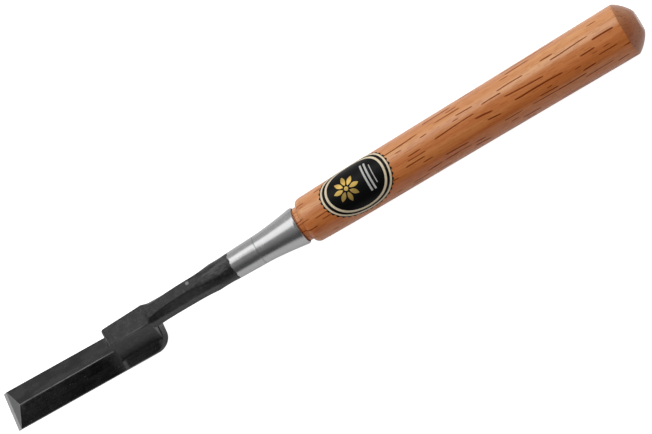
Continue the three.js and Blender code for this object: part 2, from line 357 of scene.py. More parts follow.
def hard_steel():
    """The hard steel plate: bare off the grinding stone, with scratches across, and black on its sides."""
    material, nodes, mm = new_material("hard_steel", BLADE)
    x, y, _ = nodes.split(mm)
    lines = nodes.noise(mm, scale=(5.0, 0.12, 5.0), detail=3, roughness=0.65)
    cloud = nodes.noise(mm, scale=0.3, detail=3, roughness=0.5)
    shade = nodes.weighted((lines, 0.7), (cloud, 0.3))
    base = nodes.ramp(shade, [(0.3, tuple(0.8 * c for c in BARE_STEEL)), (0.7, BARE_STEEL)])
    narrowing = (TIP_HALF_WIDTH - HEEL_HALF_WIDTH) / BLADE_LENGTH
    outward = nodes.total(nodes.distance(y), nodes.product(x, narrowing))
    side = nodes.band(outward, TIP_HALF_WIDTH - 0.06, TIP_HALF_WIDTH - 0.01)
    base = nodes.mix(side, base, SCALE_BLACK)
    bare = nodes.difference(1.0, side)
    rough = nodes.remap(lines, 0.3, 0.7, 0.29, 0.42)
    normal = nodes.bump(lines, strength=0.2, distance=0.00003)
    finish_material(nodes, Base_Color=base, Metallic=bare, Roughness=rough, Normal=normal)
    return material


def turned_steel():
    """Polished on the lathe: fine rings round the axis and a few deeper ones. The scale's edge wanders
    over its narrow end."""
    material, nodes, mm = new_material("bright_steel", AXIS)
    fine = nodes.noise(mm, scale=(6.0, 0.02, 0.02), detail=3, roughness=0.7)
    broad = nodes.noise(mm, scale=(1.1, 0.05, 0.05), detail=2, roughness=0.5)
    smudge = nodes.noise(mm, scale=0.25, detail=3, roughness=0.6)
    shade = nodes.weighted((fine, 0.6), (smudge, 0.4))
    low, high = (tuple(share * c for c in TURNED_STEEL) for share in (0.9, 1.08))
    base = nodes.ramp(shade, [(0.3, low), (0.7, high)])
    wander = nodes.product(nodes.noise(mm, scale=0.35, detail=2, roughness=0.5), 3.5)
    bare = nodes.band(nodes.total(nodes.split(mm)[0], wander), BLACK_END + 1.8, BLACK_END + 2.2)
    base = nodes.mix(bare, SCALE_BLACK, base)
    rough = nodes.total(
        nodes.remap(smudge, 0.3, 0.7, 0.20, 0.28), nodes.product(nodes.difference(1.0, bare), 0.2)
    )
    normal = nodes.bump(nodes.weighted((fine, 1.0), (broad, 1.5)), strength=0.12, distance=0.00003)
    finish_material(nodes, Base_Color=base, Metallic=bare, Roughness=rough, Normal=normal)
    return material


WOOD_DARK = (0.60, 0.160, 0.032)
WOOD_MIDDLE = (0.77, 0.265, 0.068)
WOOD_PALE = (0.89, 0.41, 0.140)
WOOD_PAINTED_SHADE = (0.95, 0.78, 0.68)  # painted shade: the wood towards -Y is its own colour times this, darker and redder
WOOD_PAINTED_SHEEN = (1.0, 0.92, 0.62)  # painted sheen: a little of this is mixed in over the rest, towards +Y
END_GRAIN, END_SPECK = (0.34, 0.105, 0.04), (0.16, 0.045, 0.02)
PORE_SHORT, PORE_BORDER, PORE_CORE = (0.38, 0.080, 0.010), (0.46, 0.100, 0.012), (0.215, 0.034, 0.001)


def pores(nodes, x, around, pitch, length, half, share):
    """Open pores as thin dashes, chained in wandering rows along the grain: 0 to 1.

    around is the distance round the handle, pitch the rows' spacing, length the dashes' rough length,
    half their half width as a share of the pitch, and share how much of each row is open."""
    slow = nodes.joined(nodes.product(x, 0.008), nodes.product(around, 0.05))
    drift = nodes.noise(slow, detail=2)
    row = nodes.math("DIVIDE", nodes.total(around, nodes.product(drift, 8.0)), pitch)
    number = nodes.math("FLOOR", row)
    along = nodes.math("DIVIDE", x, length)
    sway = nodes.noise(nodes.joined(nodes.product(number, 3.7), nodes.product(along, 0.3)), detail=1)
    across = nodes.total(
        nodes.difference(nodes.math("FRACT", row), 0.5), nodes.product(nodes.difference(sway, 0.5), 0.9)
    )
    here = nodes.noise(nodes.joined(along, nodes.product(number, 7.7)), detail=1, roughness=0.3)
    opened = nodes.band(here, 1 - share - 0.03, 1 - share + 0.04)
    gap = nodes.difference(nodes.distance(across), nodes.product(opened, half))
    return nodes.product(nodes.band(gap, 0.17, -0.05), nodes.band(opened, 0.0, 0.4))


def red_oak():
    """Orange-brown red oak with painted shade, darker and redder towards -Y, and a painted sheen towards
    +Y:
    bands along the grain, dark dashed pores with a reddish border, end grain on the butt, and a thin satin
    oil finish that the pores lack."""
    material, nodes, mm = new_material("red_oak", AXIS)
    x, y, z = nodes.split(mm)
    around = nodes.product(nodes.math("ARCTAN2", y, z), MEAN_HANDLE_RADIUS)
    end = nodes.band(x, BUTT_START - 0.1, BUTT_START + 0.6)
    side = nodes.difference(1.0, end)

    bands = nodes.noise(mm, scale=(0.006, 0.20, 0.20), detail=4, roughness=0.55, distortion=0.4)
    fibre = nodes.noise(mm, scale=(0.03, 3.2, 3.2), detail=4, roughness=0.65)
    tone = nodes.weighted((bands, 0.62), (fibre, 0.38))
    base = nodes.ramp(tone, [(0.30, WOOD_DARK), (0.48, WOOD_MIDDLE), (0.66, WOOD_PALE)])
    # painted shade: darker and redder towards -Y
    base = nodes.mix(nodes.band(y, 3, -10), base, WOOD_PAINTED_SHADE, "MULTIPLY")
    # painted sheen: paler towards +Y
    base = nodes.mix(nodes.product(nodes.band(y, -8, 0), 0.10), base, WOOD_PAINTED_SHEEN)

    specks = nodes.band(nodes.noise(mm, scale=(0.3, 1.4, 1.4), detail=2, roughness=0.5), 0.56, 0.66)
    base = nodes.mix(nodes.product(end, 0.65), base, END_GRAIN)
    base = nodes.mix(nodes.product(specks, end, 0.55), base, END_SPECK)
    long_pores = nodes.product(pores(nodes, x, around, pitch=2.6, length=17.0, half=0.06, share=0.43), side)
    short_pores = nodes.product(pores(nodes, x, around, pitch=0.9, length=6.0, half=0.16, share=0.44), side)
    core = nodes.band(long_pores, 0.34, 0.86)
    base = nodes.mix(nodes.product(short_pores, 0.32), base, PORE_SHORT)
    base = nodes.mix(nodes.product(long_pores, 0.7), base, PORE_BORDER)
    base = nodes.mix(nodes.product(core, 0.92), base, PORE_CORE)

    open_grain = nodes.strongest((core, 1.0), (short_pores, 0.3))
    oil = nodes.remap(open_grain, 0, 1, 0.90, 0.05)
    rough = nodes.remap(open_grain, 0, 1, 0.40, 0.65)
    normal = nodes.bump(nodes.weighted((fibre, 0.3), (open_grain, -1.0)), strength=0.35, distance=0.00012)
    finish_material(
        nodes, Base_Color=base, Roughness=rough, Normal=normal, Coat_Weight=oil, Coat_Roughness=0.21,
        Specular_IOR_Level=0.06,
    )
    return material


def printed_film(name, colour, roughness, metallic=0.0, gloss=0.5):
    """Printed film: an even ink with a slight mottle under its gloss."""
    material, nodes, mm = new_material(name, AXIS)
    mottle = nodes.noise(mm, scale=1.2, detail=3, roughness=0.6)
    base = nodes.ramp(mottle, [(0.3, tuple(0.85 * c for c in colour)), (0.7, colour)])
    rough = nodes.remap(mottle, 0.3, 0.7, roughness, roughness + 0.08)
    normal = nodes.bump(mottle, strength=0.08, distance=0.00004)
    finish_material(
        nodes, Base_Color=base, Metallic=metallic, Roughness=rough, Normal=normal, Specular_IOR_Level=gloss
    )
    return material


# ---- Mesh building -----------------------------------------------------------------------------


WELD, SLIVER = 2e-6, 1e-7  # metres: points closer than WELD are one, edges under SLIVER go


class Surface:
    """Grids of points gathered into one welded mesh."""

    def __init__(self):
        self.points = []
        self.faces = []

    def grid(self, rows, closed=False):
        """Quads between rows of points, which close on themselves where closed is true."""
        rows = np.asarray(rows, float)
        count, width, _ = rows.shape
        start = len(self.points)
        self.points.extend(rows.reshape(-1, 3).tolist())
        for i in range(count - 1):
            for j in range(width if closed else width - 1):
                k = (j + 1) % width
                a, b = start + i * width, start + (i + 1) * width
                self.faces.append((a + j, a + k, b + k, b + j))

    def shell(self, top, bottom):
        """A closed plate between two grids of the same size."""
        top, bottom = np.asarray(top, float), np.asarray(bottom, float)
        self.grid(top)
        self.grid(bottom[:, ::-1])
        self.grid(np.stack([bottom[:, 0], top[:, 0]], 1))
        self.grid(np.stack([top[:, -1], bottom[:, -1]], 1))
        self.grid(np.stack([top[0], bottom[0]]))
        self.grid(np.stack([bottom[-1], top[-1]]))

    def make(self, name, matrix, sharp=30.0):
        """The piece, smooth except at edges sharper than that many degrees."""
        mesh = bpy.data.meshes.new(name)
        mesh.from_pydata([matrix @ (Vector(p) * MM) for p in self.points], [], self.faces)
        build = bmesh.new()
        build.from_mesh(mesh)
        bmesh.ops.remove_doubles(build, verts=build.verts, dist=WELD)
        bmesh.ops.dissolve_degenerate(build, edges=build.edges, dist=SLIVER)
        bmesh.ops.recalc_face_normals(build, faces=build.faces)
        for face in build.faces:
            face.smooth = True
        build.to_mesh(mesh)
        build.free()
        mesh.set_sharp_from_angle(angle=math.radians(sharp))
        piece = bpy.data.objects.new(name, mesh)
        bpy.context.scene.collection.objects.link(piece)
        return piece


def place(piece, material, slot, *nodes):
    """Gives a piece its material and its body, and hides the CAD nodes it stands for. slot is not used."""
    piece.data.materials.append(material)
    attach(piece, "root")
    if nodes:
        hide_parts(*nodes)
    return piece


def soften_edges(piece, width, angle=40):
    """Breaks the sharp edges by a small rounding."""
    bevel = piece.modifiers.new("edges", "BEVEL")
    bevel.width = width * MM
    bevel.segments = 2
    bevel.limit_method = "ANGLE"
    bevel.angle_limit = math.radians(angle)
    bevel.harden_normals = True


def smoothstep(low, high, x):
    """0 at low and 1 at high, in either order, and smooth between."""
    t = np.clip((np.asarray(x, float) - low) / (high - low), 0, 1)
    return t * t * (3 - 2 * t)


def curve_through(stations):
    """A smooth curve through (x, value) stations, as a function of x."""
    xs, values = np.array(stations, float).T
    slopes = np.gradient(values, xs)

    def value(x):
        i = np.clip(np.searchsorted(xs, x) - 1, 0, len(xs) - 2)
        h = xs[i + 1] - xs[i]
        t = np.clip((x - xs[i]) / h, 0, 1)
        a = (1 + 2 * t) * (1 - t) ** 2 * values[i] + t * (1 - t) ** 2 * h * slopes[i]
        return a + t * t * (3 - 2 * t) * values[i + 1] + t * t * (t - 1) * h * slopes[i + 1]

    return value


def turned(name, profile, segments=192, closed=False, sharp=30.0):
    """A turned piece about the handle's axis, from (x, radius) points."""
    profile = list(profile) + ([profile[0]] if closed else [])
    turns = np.linspace(0, 2 * math.pi, segments, endpoint=False)
    across, up = np.sin(turns), np.cos(turns)
    rows = [np.stack([np.full(segments, x), r * across, r * up], 1) for x, r in profile]
    surface = Surface()
    surface.grid(rows, closed=True)
    return surface.make(name, AXIS, sharp)


def arc(centre, radii, start, end, count):
    """(x, radius) points of an ellipse's arc, from one angle in degrees to another."""
    angles = np.radians(np.linspace(start, end, count))
    return [(centre[0] + radii[0] * math.cos(a), centre[1] + radii[1] * math.sin(a)) for a in angles]


# ---- Blade -------------------------------------------------------------------------------------

BLADE_LENGTH = 96.4
TIP_HALF_WIDTH, HEEL_HALF_WIDTH = 12.0, 11.8
TIP_RIDGE, HEEL_RIDGE = 3.8, 5.1
SIDE_HEIGHT = 1.15
RIDGE_ROUNDING = 0.4
BEVEL_SLOPE = math.tan(math.radians(29.5))
HEEL_CORNER = 8.6
RIM_RADIUS = HEEL_CORNER - 0.6  # the same corners at the top
HEEL_LEAN = 2.0  # how far the top of the heel's end wall leans in
STEEL_THICKNESS = 1.05
STEEL_END = 68.0
FORGED_STEP = 0.18  # the heel is left this much thicker, where the grinding stops
STEP_FRONT, STEP_BACK = 64.3, 69.2  # that line's x on the +Y side and on the -Y side
PLATE_GAP = 0.01  # between the steel plate and the iron over it
COLUMNS = 49
BUNCHING = 0.09  # how much closer together the columns are at the sides and the ridge


def half_width(x):
    return TIP_HALF_WIDTH + (HEEL_HALF_WIDTH - TIP_HALF_WIDTH) * x / BLADE_LENGTH


def step_line(y):
    """Where the ground faces end and the forged heel begins."""
    return STEP_FRONT + (STEP_BACK - STEP_FRONT) * smoothstep(12, -6, y)


def roof(x, y):
    """The height of the blade's two sloping faces."""
    ridge = TIP_RIDGE + (HEEL_RIDGE - TIP_RIDGE) * x / BLADE_LENGTH
    across = np.sqrt(np.square(y) + RIDGE_ROUNDING**2) / half_width(x)
    step = FORGED_STEP * smoothstep(step_line(y) - 1.5, step_line(y) + 0.9, x)
    return SIDE_HEIGHT + (ridge - SIDE_HEIGHT) * (1 - np.minimum(across, 1)) + step


def across_shares():
    """Column places from -1 to 1, closer together at the sides and at the ridge."""
    t = np.linspace(-1, 1, COLUMNS)
    return t - BUNCHING * np.sin(2 * math.pi * t)


def heel_rows(length, corner, count):
    """(x, half width) stations round the U of the heel."""
    middle_x, middle_y = length - corner, HEEL_HALF_WIDTH - corner
    turns = np.linspace(0, math.pi / 2, count)
    return [(middle_x + corner * math.sin(a), middle_y + corner * math.cos(a)) for a in turns]


def make_blade_iron(material):
    """The iron, in rows from the bevel to the heel, which are closest over the forged step. It rests on
    the steel plate as far as STEEL_END, and reaches the back plane behind it."""
    shares = across_shares()
    foot = STEEL_THICKNESS + PLATE_GAP
    start = foot / BEVEL_SLOPE
    bevel_top = np.array([roof(5, y) / BEVEL_SLOPE for y in shares * TIP_HALF_WIDTH])
    top, bottom = [], []

    def add(x, y, z, low):
        top.append(np.stack([x, y, z], 1))
        bottom.append(np.stack([x, y, np.full(COLUMNS, low)], 1))

    for t in np.linspace(0, 1, 7):
        x = start + (bevel_top - start) * t
        add(x, shares * half_width(x), np.maximum(x * BEVEL_SLOPE, foot), foot)
    stretches = [(8, 60, 22), (61, STEEL_END - 0.25, 24), (STEEL_END, STEEL_END + 0.05, 2),
                 (68.4, 73, 14), (74.5, 86, 7)]
    for x_now in np.concatenate([np.linspace(*stretch) for stretch in stretches]):
        x = np.full(COLUMNS, x_now)
        y = shares * half_width(x)
        add(x, y, roof(x, y), foot if x_now <= STEEL_END else 0.0)
    heel_top = heel_rows(BLADE_LENGTH - HEEL_LEAN, RIM_RADIUS, 22)
    heel_bottom = heel_rows(BLADE_LENGTH, HEEL_CORNER, 22)
    for (x_top, half_top), (x_low, half_low) in zip(heel_top, heel_bottom):
        x, y = np.full(COLUMNS, x_top), shares * (half_top - 0.15 * smoothstep(86, 90, x_top))
        top.append(np.stack([x, y, roof(x, y)], 1))
        bottom.append(np.stack([np.full(COLUMNS, x_low), shares * half_low, np.zeros(COLUMNS)], 1))
    surface = Surface()
    surface.shell(top, bottom)
    piece = surface.make("blade_iron_fine", BLADE, sharp=14)
    soften_edges(piece, 0.14)
    return place(piece, material, "forged_iron", "blade_iron")


HOLLOW_MIDDLE, HOLLOW_HALF_LENGTH, HOLLOW_HALF_WIDTH, HOLLOW_DEPTH = 37.0, 27.0, 8.8, 0.42


def hollow(x, y):
    """The shallow hollow in the flat back, with a flat land all round it."""
    far = (np.abs(x - HOLLOW_MIDDLE) / HOLLOW_HALF_LENGTH) ** 4 + (np.abs(y) / HOLLOW_HALF_WIDTH) ** 4
    return HOLLOW_DEPTH * smoothstep(1.0, 0.45, far)


def make_cutting_steel(material):
    """The hard-steel plate under the iron, from the cutting edge to STEEL_END."""
    shares = across_shares()
    bevel_top = STEEL_THICKNESS / BEVEL_SLOPE
    rows = np.concatenate([[0, 0.6, 1.2, bevel_top], np.linspace(2.6, STEEL_END - 0.05, 110)])
    top, bottom = [], []
    for x_now in rows:
        x = np.full(COLUMNS, x_now)
        y = shares * half_width(x)
        height = min(x_now * BEVEL_SLOPE, STEEL_THICKNESS)
        top.append(np.stack([x, y, np.full(COLUMNS, height)], 1))
        bottom.append(np.stack([x, y, hollow(x, y)], 1))
    surface = Surface()
    surface.shell(top, bottom)
    piece = surface.make("cutting_steel_fine", BLADE, sharp=20)
    return place(piece, material, "ground_steel", "cutting_steel")


# ---- Boss and neck -----------------------------------------------------------------------------

BOSS_HALF_WIDTH = 6.2
REAR_WALL_DEPTH = 17.0  # the rear wall's height below the axis
BLACK_END = 149.6
# Height of the boss's top above the back plane, up the leaning front. All these curves run along the
# axis frame's x.
boss_front = curve_through([
    (62.4, 2.4), (64.0, 3.6), (65.2, 5.6), (66.1, 9.0), (67.1, 14.0), (68.3, 18.9), (68.9, 20.3),
    (69.7, 21.2), (70.9, 21.6), (72.5, 21.85),
])
# Above the axis: the boss's top behind its front, and the half width of its top on the -Y side.
boss_top = curve_through([(68, 3.7), (74, 3.9), (84, 4.3), (90, 4.6), (95, 4.95)])
boss_crease = curve_through([(62, 5.1), (72, 5.1), (82, 5.7), (90, 6.2), (95, 6.2)])
# The neck's octagon: half height, half width, half width of its top face, and how far its side faces
# reach above and below the axis.
neck_top = curve_through([
    (94, 4.9), (97, 5.25), (100, 5.8), (104, 6.5), (110, 7.3), (118, 7.9), (130, 7.9), (140, 8.0),
    (150, 8.7),
])
neck_side = curve_through([(94, 6.1), (100, 5.95), (118, 5.9), (130, 6.2), (140, 7.2), (150, 8.5)])
top_flat = curve_through([
    (94, 4.6), (97, 3.9), (100, 3.35), (104, 3.15), (112, 3.2), (128, 3.3), (140, 3.7), (150, 4.2),
])
side_high = curve_through([(94, 3.6), (98, 3.0), (104, 2.5), (118, 2.3), (130, 2.7), (150, 3.5)])
side_low = curve_through([(94, 3.9), (98, 3.6), (104, 3.35), (118, 3.3), (130, 3.4), (150, 3.6)])
# The radius that turns the octagon round towards the bolster, and the bolster's own radius.
round_cap = curve_through([
    (94, 9.6), (112, 9.0), (122, 8.6), (132, 7.9), (140, 7.45), (146, 7.5), (150, 7.72), (166.1, 8.25),
])
NECK_ROUNDING = 0.55  # of the octagon's corners
CAP_SOFTNESS = 0.12
POINTS_PER_EDGE = (8, 10, 14, 10, 8)


def rounded_half(corners, radii):
    """Points down one half of a section, from its top middle to its bottom middle. Each inner
    corner is a small curve, and each stretch has the same number of points in every section."""
    path = [np.array(c, float) for c in corners]
    points = []
    last = path[0]
    for i, count in enumerate(POINTS_PER_EDGE):
        here, corner = path[i], path[i + 1]
        edge = corner - here
        length = max(np.linalg.norm(edge), 1e-6)
        is_corner = i + 2 < len(path)
        stop = corner
        if is_corner:
            onward = path[i + 2] - corner
            onward_length = max(np.linalg.norm(onward), 1e-6)
            cut = min(radii[i], 0.4 * length, 0.4 * onward_length)
            stop = corner - edge / length * cut
        for t in np.linspace(0, 1, count, endpoint=False):
            points.append(last + (stop - last) * t)
        if is_corner:
            leave = corner + onward / onward_length * cut
            for t in np.linspace(0, 1, 5, endpoint=False):
                points.append((1 - t) ** 2 * stop + 2 * t * (1 - t) * corner + t * t * leave)
            last = leave
    points.append(path[-1])
    return np.array(points)


def boss_section(x, top, crease):
    """Half of the boss's section at x: a flat top as far as its crease, and a side that flares to a foot
    sunk in the blade. The front starts as low as the foot."""
    low = back_height(x)
    side, foot = BOSS_HALF_WIDTH + 0.7, 0.7
    top = max(top, low + 2.4)
    shoulder = max(top - 0.25, low + 2.3)
    root = low + 2.35
    corners = [
        (0, top), (crease - 0.2, top), (crease, shoulder), (side, min(root + foot, shoulder - 0.01)),
        (side + foot, root - 0.6), (0, low + 1.5),
    ]
    return rounded_half(corners, (0.35, 0.35, 0.9, 0.3))


def neck_section(x):
    """Half of the neck's section at x: an octagon, turned round where the cap cuts its corners."""
    top, side, flat = neck_top(x), neck_side(x), top_flat(x)
    corners = [(0, top), (flat, top), (side, side_high(x)), (side, -side_low(x)), (flat, -top), (0, -top)]
    half = rounded_half(corners, (NECK_ROUNDING,) * 4)
    radius = np.linalg.norm(half, axis=1)
    cap = round_cap(x)
    capped = 0.5 * (radius + cap - np.sqrt((radius - cap) ** 2 + CAP_SOFTNESS**2))
    return half * (capped / radius)[:, None]


def whole_ring(x, right_half, left_half, shift=None, lean=0.0):
    """A closed ring of the section at x. shift moves points along x by their y, lean by their depth."""
    right = np.stack([np.full(len(right_half), x), -right_half[:, 0], right_half[:, 1]], 1)
    left = np.stack([np.full(len(left_half), x), left_half[:, 0], left_half[:, 1]], 1)[::-1][1:-1]
    ring = np.concatenate([right, left])
    if shift is not None:
        ring[:, 0] += shift(ring[:, 1])
    ring[:, 0] -= lean * np.clip(-ring[:, 2] / REAR_WALL_DEPTH, 0, 1)
    return ring


def front_shift(x):
    """The front of the boss is set back towards -Y, more at its foot than at its top edge."""
    at_foot, at_top = 4.5, 1.0
    share = smoothstep(63, 69.5, x)
    amount = (at_foot + (at_top - at_foot) * share) * (1 - smoothstep(70, 82, x))
    return lambda y: amount * np.clip((BOSS_HALF_WIDTH - y) / (2 * BOSS_HALF_WIDTH), 0, 1.1)


BLEND_START, BLEND_END = 95.0, 98.6  # the boss's rear turns into the neck between these
REAR_LEAN = 1.5  # how far the rear wall's foot is set forward
WALL_PACE, RIGHT_PACE, LEFT_PACE = 0.16, 0.45, 1.0  # shares of the blend: the wall, and the top's halves


def blend_pace(points, slowest):
    """How much of the blend each point takes: the top turns slowly into the neck, the wall at once."""
    high = smoothstep(-1.0, 4.2, points[:, 1])
    return WALL_PACE + (slowest - WALL_PACE) * high


def blend_share(points, t, pace):
    """How far each point has moved at t: evenly along the top, and easing in and out down the wall."""
    share = np.clip(t / pace, 0, 1)
    high = smoothstep(1.0, 4.2, points[:, 1])
    return (share * high + smoothstep(0, 1, share) * (1 - high))[:, None]


def make_neck(material):
    """Boss and neck in one skin, in rings from the boss's front to the bolster's black edge."""
    rings = []
    for x in np.concatenate([np.linspace(62.6, 71.2, 70), np.linspace(71.7, BLEND_START, 40)]):
        top = boss_top(x)
        if x < 73:
            top = min(back_height(x) + boss_front(x), top)
        right, left = (boss_section(x, top, crease) for crease in (boss_crease(x), BOSS_HALF_WIDTH))
        rings.append(whole_ring(x, right, left, front_shift(x), REAR_LEAN * smoothstep(86, 95, x)))
    boss_end = boss_section(BLEND_START, boss_top(BLEND_START), BOSS_HALF_WIDTH)
    neck_start = neck_section(BLEND_END)
    change = neck_start - boss_end
    paces = [blend_pace(boss_end, slowest) for slowest in (RIGHT_PACE, LEFT_PACE)]
    for t in np.linspace(0, 1, 60)[1:]:
        x = BLEND_START + (BLEND_END - BLEND_START) * t
        halves = [boss_end + change * blend_share(boss_end, t, pace) for pace in paces]
        rings.append(whole_ring(x, *halves, lean=REAR_LEAN * (1 - t)))
    for x in np.linspace(BLEND_END + 0.4, BLACK_END, 110):
        half = neck_section(x)
        rings.append(whole_ring(x, half, half))
    surface = Surface()
    surface.grid(rings, closed=True)
    for ring in (rings[0], rings[-1]):
        middle = np.repeat(ring.mean(0)[None], len(ring), 0)
        surface.grid([ring, middle], closed=True)
    piece = surface.make("neck_fine", AXIS, sharp=38)
    return place(piece, material, "forged_iron", "neck_and_tang")


BOLSTER_END = 166.1
JOINT_ROUNDING = 0.12  # of the bolster's end and the ferrule's start


def make_bolster(material):
    profile = [(BLACK_END, 0), (BLACK_END, round_cap(BLACK_END))]
    profile += [(x, round_cap(x)) for x in np.linspace(BLACK_END + 0.5, BOLSTER_END - 0.13, 20)]
    edge = round_cap(BOLSTER_END)
    profile += arc((BOLSTER_END - JOINT_ROUNDING, edge - JOINT_ROUNDING), (JOINT_ROUNDING,) * 2, 90, 0, 5)
    profile += [(BOLSTER_END, 0)]
    return place(turned("bolster_fine", profile), material, "bright_steel")


# ---- Ferrule and handle ------------------------------------------------------------------------

FERRULE_START, FLARE_END, FERRULE_END = 166.2, 190.8, 192.1
FERRULE_FRONT, FERRULE_FLARE, FERRULE_POWER = 8.25, 2.61, 1.45
FERRULE_WALL = 0.9
FERRULE_LIP = 0.62  # how far the mouth turns in past the flare


def ferrule_radius(x):
    t = np.clip((x - FERRULE_START) / (FLARE_END - FERRULE_START), 0, 1)
    return FERRULE_FRONT + FERRULE_FLARE * t**FERRULE_POWER


def make_ferrule(material):
    """A thin flared tube, whose mouth is rounded over towards the wood."""
    rim = ferrule_radius(FERRULE_END)
    mouth = rim - FERRULE_LIP
    corner = (FERRULE_START + JOINT_ROUNDING, FERRULE_FRONT - JOINT_ROUNDING)
    profile = arc(corner, (JOINT_ROUNDING,) * 2, 180, 90, 5)
    profile += [(x, ferrule_radius(x)) for x in np.linspace(FERRULE_START + 0.4, FLARE_END - 0.1, 40)]
    profile += arc((FLARE_END + 0.1, mouth), (FERRULE_END - FLARE_END - 0.1, FERRULE_LIP), 84, 8, 12)
    profile += [(FERRULE_END, mouth), (FERRULE_END - 0.05, rim - FERRULE_WALL)]
    inside = np.linspace(FERRULE_END - 0.4, FERRULE_START, 20)
    profile += [(x, ferrule_radius(x) - FERRULE_WALL) for x in inside]
    return place(turned("ferrule_fine", profile, closed=True), material, "bright_steel", "ferrule")


SHOULDER_START, SHOULDER_END = 195.0, 198.6
MEAN_HANDLE_RADIUS = 14.2
WOOD_NECK_RADIUS = 9.8  # between the ferrule's mouth and the shoulder
GROOVE_START, GROOVE_END, GROOVE_RADIUS = 191.2, 192.4, 9.1  # where the wood enters the ferrule
SPIGOT_GAP = 0.15
BUTT_START, BUTT_FLAT, BUTT_POWER = 392.8, 6.0, 1.27
handle_radius = curve_through([
    (198.6, 13.0), (204, 13.15), (222, 13.5), (254, 13.8), (307, 14.2), (359, 14.75), (394, 15.1),
])


def make_handle(material):
    """The handle's profile: spigot, groove, neck, shoulder, long taper and rounded butt."""
    start = FERRULE_START + 0.3
    profile = [(start, 0)]
    for x in np.linspace(start, GROOVE_START - 0.6, 12):
        profile.append((x, ferrule_radius(x) - FERRULE_WALL - SPIGOT_GAP))
    profile += [
        (GROOVE_START, GROOVE_RADIUS), (GROOVE_END, GROOVE_RADIUS),
        (GROOVE_END + 0.3, WOOD_NECK_RADIUS - 0.1), (GROOVE_END + 0.6, WOOD_NECK_RADIUS),
        (SHOULDER_START - 0.8, WOOD_NECK_RADIUS + 0.05),
    ]
    rise = handle_radius(SHOULDER_END) - WOOD_NECK_RADIUS - 0.3
    depth = SHOULDER_END - SHOULDER_START
    profile += arc((SHOULDER_START - 0.4, WOOD_NECK_RADIUS + 0.45), (0.4, 0.4), -90, 0, 5)
    profile += arc((SHOULDER_END, WOOD_NECK_RADIUS + 0.3), (depth, rise), 176, 96, 18)
    profile += [(x, handle_radius(x)) for x in np.linspace(SHOULDER_END + 0.3, BUTT_START, 140)]
    edge = handle_radius(BUTT_START)
    for t in np.linspace(0, 1, 34)[1:]:
        drop = (1 - t**BUTT_POWER) ** (1 / BUTT_POWER)
        profile.append((BUTT_START + (BUTT_X - BUTT_START) * t, BUTT_FLAT + (edge - BUTT_FLAT) * drop))
    profile += [(BUTT_X, r) for r in (4.5, 3.0, 1.5, 0)]
    return place(turned("handle_fine", profile, sharp=50), material, "red_oak", "handle")


# ---- Label -------------------------------------------------------------------------------------

LABEL_MIDDLE = 230.7
LABEL_LEAN = math.radians(11)
LABEL_HALF_LENGTH, LABEL_HALF_ARC = 21.5, 18.6
SCALLOPS, SCALLOP_DEPTH = 40, 0.7
FILM = 0.05  # thickness of the film and of each ink over it
FILM_LIFT = 0.02  # how far the film stands off the wood
CREAM_RINGS = {"label_ring_outer": (20.4, 1.05), "label_ring_inner": (17.8, 1.25)}  # half length, width
PETALS, PETAL_REACH, PETAL_HALF_WIDTH = 8, (1.9, 7.4), 1.25
ROSETTE_MIDDLE, HEART_RADIUS = np.array((-5.5, 0.0)), 1.2
BARS = ((6.2, 8.0, 0.55), (8.4, 8.0, 0.55), (10.8, 5.5, 0.25))  # place, half length, half width


def wrapped(u, v, lift):
    """A point of the label: u along the handle from its middle, v round it towards -Y."""
    x = LABEL_MIDDLE + u
    skin = handle_radius(x)
    turn = LABEL_LEAN + v / handle_radius(LABEL_MIDDLE)
    return np.array([x, -(skin + lift) * math.sin(turn), (skin + lift) * math.cos(turn)])


def film(name, rows, level, material, slot, *nodes):
    """A thin piece wrapped on the handle. rows is a grid of (u, v) points, level its layer."""
    lift = FILM_LIFT + level * FILM
    top = [[wrapped(u, v, lift + FILM) for u, v in row] for row in rows]
    bottom = [[wrapped(u, v, lift) for u, v in row] for row in rows]
    surface = Surface()
    surface.shell(top, bottom)
    return place(surface.make(name, AXIS, sharp=40), material, slot, *nodes)


def oval(half_u, half_v, count=288, scallop=0.0):
    """Points round an oval with those half axes. scallop is its dips' depth as a share of them."""
    points = []
    for a in np.linspace(0, 2 * math.pi, count + 1):
        wave = 1 - scallop * (0.5 - 0.5 * math.cos(SCALLOPS * a))
        points.append((half_u * math.cos(a) * wave, half_v * math.sin(a) * wave))
    return np.array(points)


def strip(start, end, half, count=24, taper=0.0):
    """A straight band of ink from one (u, v) point to another. taper narrows its ends."""
    start, end = np.array(start, float), np.array(end, float)
    along = (end - start) / np.linalg.norm(end - start)
    square = np.array([-along[1], along[0]])
    rows = []
    for t in np.linspace(0, 1, count):
        middle = start + (end - start) * t
        width = half * (1 - taper * (2 * t - 1) ** 2)
        rows.append([middle - square * width, middle, middle + square * width])
    return rows


